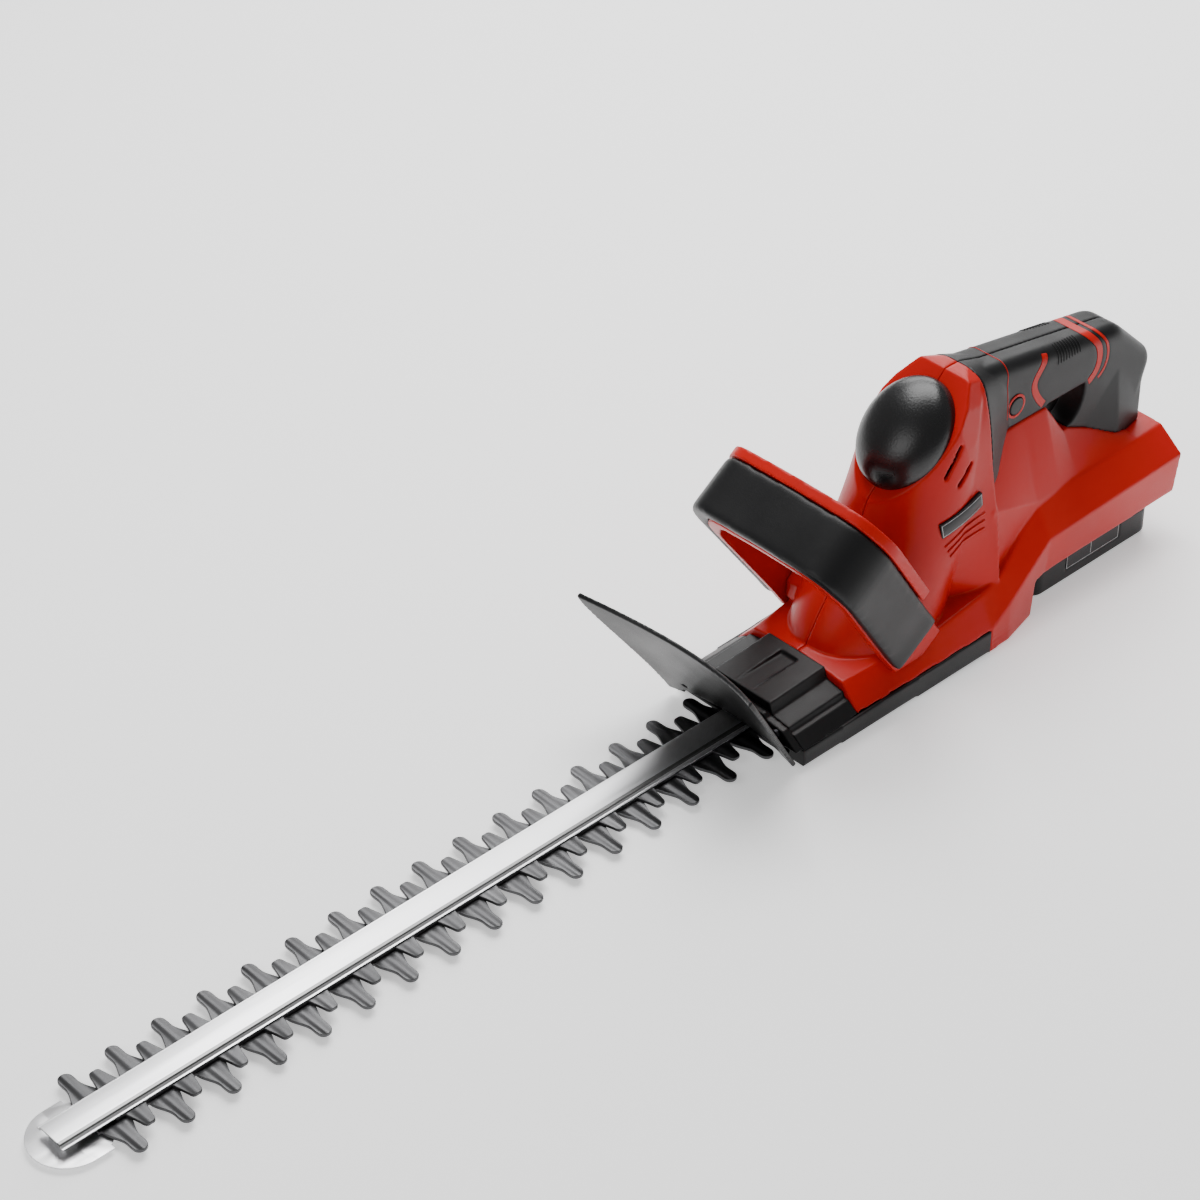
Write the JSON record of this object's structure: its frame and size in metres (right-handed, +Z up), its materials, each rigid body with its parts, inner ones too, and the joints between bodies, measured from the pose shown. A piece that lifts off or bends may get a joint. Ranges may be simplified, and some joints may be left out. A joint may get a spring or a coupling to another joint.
{
  "type": "hedge trimmer",
  "caption": "Red and black cordless hedge trimmer with a double-edged reciprocating blade, front loop handle, blade guard and slide-in battery.",
  "frame": {"origin": "centre of the bounding box's bottom face, under the tool's flat bottom", "axes": "+X towards the blade tip, +Y to the tool's left, +Z up from the flat bottom"},
  "size_m": [0.9001, 0.1486, 0.1887],
  "materials": {
    "red_plastic": "satin",
    "black_plastic": "matte",
    "cap_plastic": "gloss",
    "guard_plastic": "satin",
    "blade_steel": "satin",
    "bar_aluminium": "satin",
    "dark_steel": "matte",
    "bright_steel": "satin",
    "zinc_alloy": "matte",
    "brass": "satin",
    "white_nylon": "matte",
    "board_green": "gloss",
    "cell_wrap": "gloss",
    "lead_red": "satin",
    "plate_black": "gloss"
  },
  "bodies": {
    "housing": {"body_shell_left": "red_plastic", "body_shell_right": "red_plastic", "rear_grip_left": "black_plastic", "rear_grip_right": "black_plastic", "grip_stripes": "red_plastic", "grip_screws": "dark_steel", "button_ring": "red_plastic", "nose_cover": "black_plastic", "bottom_cover": "black_plastic", "cover_screws": "dark_steel", "blade_guard": "guard_plastic", "guard_screws": "dark_steel", "front_handle_grip": "black_plastic", "front_handle_frame": "red_plastic", "handle_screws": "dark_steel", "guide_bar": "bar_aluminium", "bar_core": "dark_steel", "blade_spacers": "bright_steel", "blade_washers": "bright_steel", "blade_bolts": "dark_steel", "tip_plate": "bright_steel", "tip_spacer": "bright_steel", "tip_rivets": "bright_steel", "gear_case": "zinc_alloy", "gear_bearings": "bright_steel", "motor_can": "bright_steel", "motor_magnets": "dark_steel", "motor_end_bell": "black_plastic", "motor_cap": "cap_plastic", "name_plate": "plate_black", "trigger_spring": "bright_steel", "switch_body": "black_plastic", "lock_spring": "bright_steel", "terminal_block": "black_plastic", "terminal_blades": "brass", "control_board": "board_green", "power_leads": "lead_red"},
    "crank": {"drive_gear": "bright_steel", "lower_eccentric": "dark_steel", "upper_eccentric": "dark_steel", "gear_shaft": "bright_steel"},
    "rotor": {"motor_pinion": "brass", "motor_shaft": "bright_steel", "motor_rotor": "dark_steel", "cooling_fan": "black_plastic"},
    "blade_lower": {"lower_blade": "blade_steel"},
    "blade_upper": {"upper_blade": "blade_steel"},
    "trigger_lever": {"trigger": "black_plastic"},
    "lock_off": {"lock_button": "black_plastic"},
    "battery_pack": {"battery_case_lower": "black_plastic", "battery_case_upper": "black_plastic", "battery_screws": "dark_steel", "battery_cells": "cell_wrap", "cell_holder": "black_plastic", "battery_board": "board_green", "battery_terminals": "brass", "latch_spring": "bright_steel"},
    "latch": {"battery_latch": "red_plastic"}
  },
  "joints": [
    {"name": "crank_turn", "type": "hinge", "parent": "housing", "child": "crank", "pos_m": [-0.1845, 0, 0.012], "axis": [0, 0, 1], "range_deg": [-90, 90]},
    {"name": "upper_blade_slide", "type": "slide", "parent": "housing", "child": "blade_upper", "axis": [1, 0, 0], "range_m": [-0.008, 0.008]},
    {"name": "lower_blade_slide", "type": "slide", "parent": "housing", "child": "blade_lower", "axis": [1, 0, 0], "range_m": [-0.008, 0.008]},
    {"name": "rotor_turn", "type": "hinge", "parent": "housing", "child": "rotor", "pos_m": [-0.2265, 0, 0.06], "axis": [0, 0, 1], "range_deg": [-541, 541]},
    {"name": "trigger_squeeze", "type": "slide", "parent": "housing", "child": "trigger_lever", "axis": [0, 0, 1], "range_m": [0, 0.004], "stiffness_N_per_m": 700, "springref_m": -0.004, "deforming": ["trigger_spring"]},
    {"name": "lock_off_press", "type": "slide", "parent": "housing", "child": "lock_off", "axis": [0, -1, 0], "range_m": [0, 0.0025], "stiffness_N_per_m": 600, "springref_m": -0.003},
    {"name": "battery_slide", "type": "slide", "parent": "housing", "child": "battery_pack", "axis": [-1, 0, 0], "range_m": [0, 0.125]},
    {"name": "latch_press", "type": "slide", "parent": "battery_pack", "child": "latch", "axis": [0, 0, -1], "range_m": [0, 0.003], "stiffness_N_per_m": 900, "springref_m": -0.003, "deforming": ["latch_spring"]}
  ],
  "couplings": [
    {"joint": "upper_blade_slide", "follows": "crank_turn", "m_per_rad": 0.00509},
    {"joint": "lower_blade_slide", "follows": "crank_turn", "m_per_rad": -0.00509},
    {"joint": "rotor_turn", "follows": "crank_turn", "ratio": -6}
  ]
}
